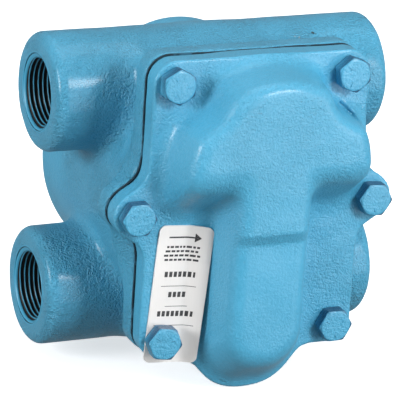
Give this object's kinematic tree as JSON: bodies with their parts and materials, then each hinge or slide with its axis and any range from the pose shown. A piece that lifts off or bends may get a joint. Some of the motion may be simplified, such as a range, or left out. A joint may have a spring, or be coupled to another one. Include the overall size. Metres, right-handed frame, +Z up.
{
  "type": "steam trap",
  "caption": "Bolted-cover float steam trap with two parallel threaded pipe runs that drains condensate and vents air while holding back steam.",
  "frame": {"origin": "on the axis of the upper, inlet, pipe run, midway between its two ends", "axes": "+X along the inlet run, +Y towards the back of the float bowl, the cover faces -Y, +Z up"},
  "size_m": [0.162, 0.1455, 0.156],
  "materials": {
    "blue_enamel_iron": "semi-gloss light blue enamel sprayed over sand-cast iron",
    "gasket_fibre": "matt compressed fibre sheet, edge over-sprayed",
    "plate_aluminium": "satin printed aluminium",
    "stainless": "pressed and turned stainless steel",
    "brass": "turned brass",
    "copper": "soft copper washer"
  },
  "bodies": {
    "housing": {"body_casting": "blue_enamel_iron", "cover_casting": "blue_enamel_iron", "cover_gasket": "gasket_fibre", "cover_bolt_top_left": "blue_enamel_iron", "cover_bolt_top_right": "blue_enamel_iron", "cover_bolt_mid_left": "blue_enamel_iron", "cover_bolt_mid_right": "blue_enamel_iron", "cover_bolt_bottom_left": "blue_enamel_iron", "cover_bolt_bottom_right": "blue_enamel_iron", "nameplate": "plate_aluminium", "valve_seat": "stainless", "seat_gasket": "copper", "lever_bracket": "stainless", "bracket_screw_left": "stainless", "bracket_screw_right": "stainless", "pivot_pin": "stainless", "pivot_clip": "stainless", "vent_seat": "brass", "vent_capsule": "stainless", "vent_cage": "stainless", "vent_screw_left": "stainless", "vent_screw_right": "stainless"},
    "float_arm": {"float_lever": "stainless", "float_front_shell": "stainless", "float_rear_shell": "stainless", "float_stud": "stainless", "float_washer": "stainless", "float_nut": "stainless"},
    "outlet_valve": {"valve_pin": "stainless"},
    "air_vent_valve": {"vent_valve": "stainless"}
  },
  "joints": [
    {"name": "float_swing", "type": "hinge", "parent": "housing", "child": "float_arm", "pos_m": [0, -0.038, -0.038], "axis": [1, 0, 0], "range_deg": [0, 20]},
    {"name": "outlet_valve_lift", "type": "slide", "parent": "housing", "child": "outlet_valve", "axis": [0, 1, 0], "range_m": [0, 0.0036]},
    {"name": "air_vent_close", "type": "slide", "parent": "housing", "child": "air_vent_valve", "axis": [0, -1, 0], "range_m": [0, 0.0012]}
  ],
  "couplings": [
    {"joint": "outlet_valve_lift", "follows": "float_swing", "m_per_rad": 0.01}
  ]
}
